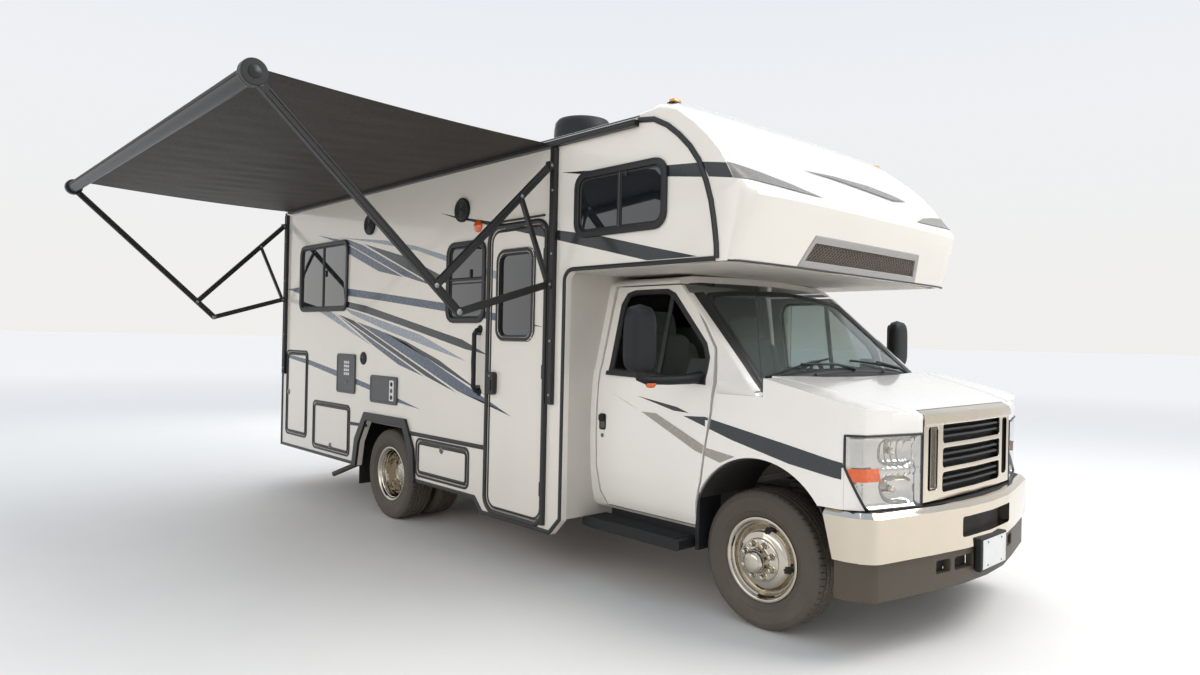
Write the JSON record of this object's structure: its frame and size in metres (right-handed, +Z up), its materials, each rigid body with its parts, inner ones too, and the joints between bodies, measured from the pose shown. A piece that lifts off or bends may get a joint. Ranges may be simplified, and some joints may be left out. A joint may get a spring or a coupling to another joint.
{
  "type": "motorhome",
  "caption": "Small class C motorhome on a cutaway van chassis: hollow coach with cab-over bunk, drawn-out side awning, opening doors and lids, steering and rolling wheels.",
  "frame": {"origin": "middle of the bounding box on the ground plane", "axes": "+X to the front of the vehicle, +Y to its left, +Z up"},
  "size_m": [6.7, 4.6918, 3.11],
  "materials": {
    "chassis_black": "matt black",
    "engine_metal": "cast",
    "exhaust_steel": "dull",
    "black_plastic": "textured black",
    "chrome": "bright",
    "valance_plastic": "grey brown",
    "lamp_glass": "clear lens",
    "red_lamp": "red lens",
    "cab_paint": "off white gloss",
    "clear_glass": "light tint",
    "tinted_glass": "dark tint",
    "dash_plastic": "grain",
    "seat_fabric": "woven",
    "coach_skin": "off white gel coat",
    "floor_wood": "board",
    "black_metal": "satin black",
    "box_plastic": "dark liner",
    "grey_plastic": "dark grey",
    "roller_metal": "painted light",
    "awning_cloth": "dark woven",
    "tyre": "black"
  },
  "bodies": {
    "motorhome": {"frame_rails": "chassis_black", "front_suspension": "chassis_black", "rear_axle": "chassis_black", "engine": "engine_metal", "exhaust": "exhaust_steel", "fuel_tank": "black_plastic", "front_bumper": "chrome", "bumper_valance": "valance_plastic", "grille": "chrome", "headlamps": "lamp_glass", "front_fenders": "cab_paint", "wheel_liners": "black_plastic", "cab_shell": "cab_paint", "windshield": "clear_glass", "dashboard": "dash_plastic", "cab_seats": "seat_fabric", "running_boards": "black_plastic", "coach_floor": "floor_wood", "coach_wall_right": "coach_skin", "coach_wall_left": "coach_skin", "coach_wall_rear": "coach_skin", "coach_bulkhead": "coach_skin", "bunk_floor": "floor_wood", "coach_roof": "coach_skin", "front_cap": "coach_skin", "window_frames": "black_metal", "window_glass": "tinted_glass", "wheel_arch_flares": "black_plastic", "baggage_boxes": "box_plastic", "side_fittings": "grey_plastic", "roof_fittings": "black_plastic", "rear_bumper": "chrome", "tail_lamps": "red_lamp", "awning_rail": "black_metal", "awning_arms": "black_metal", "awning_roller": "roller_metal", "awning_fabric": "awning_cloth"},
    "cab_door_right": {"cab_door_right": "cab_paint", "cab_glass_right": "clear_glass", "mirror_right": "black_plastic"},
    "cab_door_left": {"cab_door_left": "cab_paint", "cab_glass_left": "clear_glass", "mirror_left": "black_plastic"},
    "hood": {"hood": "cab_paint"},
    "entry_door": {"entry_door": "coach_skin", "entry_door_glass": "tinted_glass"},
    "baggage_door_rear": {"baggage_door_rear": "coach_skin"},
    "baggage_door_mid": {"baggage_door_mid": "coach_skin"},
    "baggage_door_low": {"baggage_door_low": "coach_skin"},
    "baggage_door_left": {"baggage_door_left": "coach_skin"},
    "knuckle_right": {"knuckle_right": "chassis_black"},
    "knuckle_left": {"knuckle_left": "chassis_black"},
    "wheel_front_right": {"front_wheel_right": "chrome", "front_tyre_right": "tyre"},
    "wheel_front_left": {"front_wheel_left": "chrome", "front_tyre_left": "tyre"},
    "wheels_rear_right": {"rear_wheels_right": "chrome", "rear_tyres_right": "tyre"},
    "wheels_rear_left": {"rear_wheels_left": "chrome", "rear_tyres_left": "tyre"}
  },
  "joints": [
    {"name": "steer_right", "type": "hinge", "parent": "motorhome", "child": "knuckle_right", "pos_m": [2.53, 0.041, 0.368], "axis": [0, 0, 1], "range_deg": [-30, 30]},
    {"name": "steer_left", "type": "hinge", "parent": "motorhome", "child": "knuckle_left", "pos_m": [2.53, 1.591, 0.368], "axis": [0, 0, 1], "range_deg": [-30, 30]},
    {"name": "front_right_spin", "type": "hinge", "parent": "knuckle_right", "child": "wheel_front_right", "pos_m": [2.53, -0.014, 0.368], "axis": [0, 1, 0], "continuous": true},
    {"name": "front_left_spin", "type": "hinge", "parent": "knuckle_left", "child": "wheel_front_left", "pos_m": [2.53, 1.646, 0.368], "axis": [0, 1, 0], "continuous": true},
    {"name": "rear_right_spin", "type": "hinge", "parent": "motorhome", "child": "wheels_rear_right", "pos_m": [-0.975, -0.151, 0.368], "axis": [0, 1, 0], "continuous": true},
    {"name": "rear_left_spin", "type": "hinge", "parent": "motorhome", "child": "wheels_rear_left", "pos_m": [-0.975, 1.783, 0.368], "axis": [0, 1, 0], "continuous": true},
    {"name": "cab_door_right_hinge", "type": "hinge", "parent": "motorhome", "child": "cab_door_right", "pos_m": [2.258, -0.196, 0.9], "axis": [0, 0, 1], "range_deg": [0, 60]},
    {"name": "cab_door_left_hinge", "type": "hinge", "parent": "motorhome", "child": "cab_door_left", "pos_m": [2.258, 1.828, 0.9], "axis": [0, 0, -1], "range_deg": [0, 60]},
    {"name": "hood_hinge", "type": "hinge", "parent": "motorhome", "child": "hood", "pos_m": [2.51, 0.816, 1.322], "axis": [0, -1, 0], "range_deg": [0, 50]},
    {"name": "entry_door_hinge", "type": "hinge", "parent": "motorhome", "child": "entry_door", "pos_m": [1.056, -0.419, 1.3], "axis": [0, 0, 1], "range_deg": [0, 90]},
    {"name": "baggage_rear_hinge", "type": "hinge", "parent": "motorhome", "child": "baggage_door_rear", "pos_m": [-2.609, -0.419, 0.9], "axis": [0, 0, 1], "range_deg": [0, 100]},
    {"name": "baggage_mid_hinge", "type": "hinge", "parent": "motorhome", "child": "baggage_door_mid", "pos_m": [-2.047, -0.419, 0.853], "axis": [-1, 0, 0], "range_deg": [0, 100]},
    {"name": "baggage_low_hinge", "type": "hinge", "parent": "motorhome", "child": "baggage_door_low", "pos_m": [-0.135, -0.419, 0.449], "axis": [1, 0, 0], "range_deg": [0, 110]},
    {"name": "baggage_left_hinge", "type": "hinge", "parent": "motorhome", "child": "baggage_door_left", "pos_m": [-2.047, 2.051, 0.853], "axis": [1, 0, 0], "range_deg": [0, 100]}
  ],
  "couplings": [
    {"joint": "steer_left", "follows": "steer_right", "ratio": 1}
  ]
}
